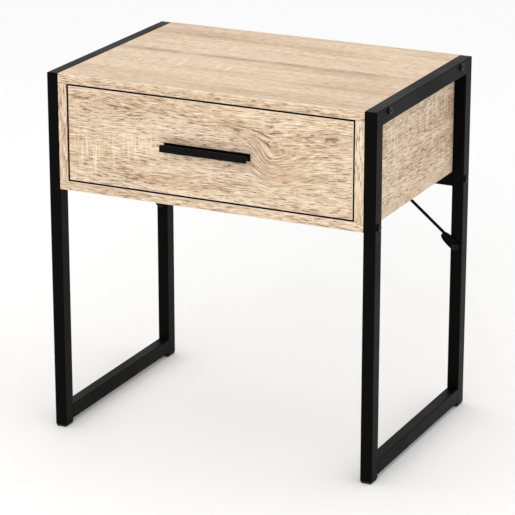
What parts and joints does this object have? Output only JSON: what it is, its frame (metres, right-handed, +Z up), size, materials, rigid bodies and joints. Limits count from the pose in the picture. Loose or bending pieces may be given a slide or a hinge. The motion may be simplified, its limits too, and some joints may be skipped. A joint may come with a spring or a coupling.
{
  "type": "side table with drawer",
  "caption": "Small side table: tube side frames with a rear crossbar and diagonal struts carry a board box with a handled drawer that slides on roller runners.",
  "frame": {"origin": "on the floor, under the middle of the table's bounding box, with the drawer shut", "axes": "+X to the right seen from the front, +Y to the back, +Z up; the drawer opens towards -Y"},
  "size_m": [0.5726, 0.407, 0.6],
  "materials": {
    "frame_steel": "fine matt black powder coat",
    "bolt_steel": "black oxide, slightly glossy",
    "plug_plastic": "matt black moulded plastic",
    "oak_board": "pale oak laminate with saw marks, matt",
    "drawer_board": "pale oak laminate, matt",
    "hardboard": "thin lacquered hardboard",
    "dowel_wood": "plain beech",
    "zinc_steel": "bright zinc plate",
    "runner_steel": "off-white epoxy coat",
    "roller_plastic": "white moulded plastic",
    "handle_metal": "satin black coat"
  },
  "bodies": {
    "table": {"left_front_leg": "frame_steel", "left_rear_leg": "frame_steel", "left_top_rail": "frame_steel", "left_bottom_rail": "frame_steel", "right_front_leg": "frame_steel", "right_rear_leg": "frame_steel", "right_top_rail": "frame_steel", "right_bottom_rail": "frame_steel", "rear_crossbar": "frame_steel", "left_strut": "frame_steel", "right_strut": "frame_steel", "left_front_foot": "plug_plastic", "left_rear_foot": "plug_plastic", "left_crossbar_end_nut": "zinc_steel", "left_side_panel": "oak_board", "left_cabinet_runner": "runner_steel", "right_front_foot": "plug_plastic", "right_rear_foot": "plug_plastic", "right_crossbar_end_nut": "zinc_steel", "right_side_panel": "oak_board", "right_cabinet_runner": "runner_steel", "top_rail_bolts": "bolt_steel", "front_leg_bolts": "bolt_steel", "crossbar_bolts": "bolt_steel", "strut_bolts": "bolt_steel", "panel_inserts": "zinc_steel", "strut_rivet_nuts": "zinc_steel", "cam_locks": "zinc_steel", "cam_bolts": "zinc_steel", "bottom_panel_screws": "zinc_steel", "cabinet_runner_screws": "zinc_steel", "cabinet_roller_pins": "zinc_steel", "box_dowels": "dowel_wood", "top_panel": "oak_board", "bottom_panel": "oak_board", "back_panel": "hardboard"},
    "drawer": {"drawer_front": "oak_board", "drawer_left_side": "drawer_board", "drawer_right_side": "drawer_board", "drawer_back": "drawer_board", "drawer_bottom": "hardboard", "drawer_handle": "handle_metal", "handle_screws": "zinc_steel", "drawer_cam_locks": "zinc_steel", "drawer_cam_bolts": "zinc_steel", "drawer_back_screws": "zinc_steel", "left_drawer_runner": "runner_steel", "right_drawer_runner": "runner_steel", "drawer_runner_screws": "zinc_steel", "drawer_roller_pins": "zinc_steel"},
    "left_cabinet_wheel": {"left_cabinet_roller": "roller_plastic"},
    "left_drawer_wheel": {"left_drawer_roller": "roller_plastic"},
    "right_cabinet_wheel": {"right_cabinet_roller": "roller_plastic"},
    "right_drawer_wheel": {"right_drawer_roller": "roller_plastic"}
  },
  "joints": [
    {"name": "drawer_slide", "type": "slide", "parent": "table", "child": "drawer", "axis": [0, -1, 0], "range_m": [0, 0.26]},
    {"name": "left_cabinet_wheel_spin", "type": "hinge", "parent": "table", "child": "left_cabinet_wheel", "pos_m": [-0.2418, -0.1545, 0.4487], "axis": [1, 0, 0], "continuous": true},
    {"name": "left_drawer_wheel_spin", "type": "hinge", "parent": "drawer", "child": "left_drawer_wheel", "pos_m": [-0.2418, 0.1685, 0.4487], "axis": [1, 0, 0], "continuous": true},
    {"name": "right_cabinet_wheel_spin", "type": "hinge", "parent": "table", "child": "right_cabinet_wheel", "pos_m": [0.2418, -0.1545, 0.4487], "axis": [1, 0, 0], "continuous": true},
    {"name": "right_drawer_wheel_spin", "type": "hinge", "parent": "drawer", "child": "right_drawer_wheel", "pos_m": [0.2418, 0.1685, 0.4487], "axis": [1, 0, 0], "continuous": true}
  ],
  "couplings": [
    {"joint": "left_cabinet_wheel_spin", "follows": "drawer_slide", "rad_per_m": 111.11},
    {"joint": "left_drawer_wheel_spin", "follows": "drawer_slide", "rad_per_m": 111.11},
    {"joint": "right_cabinet_wheel_spin", "follows": "drawer_slide", "rad_per_m": 111.11},
    {"joint": "right_drawer_wheel_spin", "follows": "drawer_slide", "rad_per_m": 111.11}
  ]
}
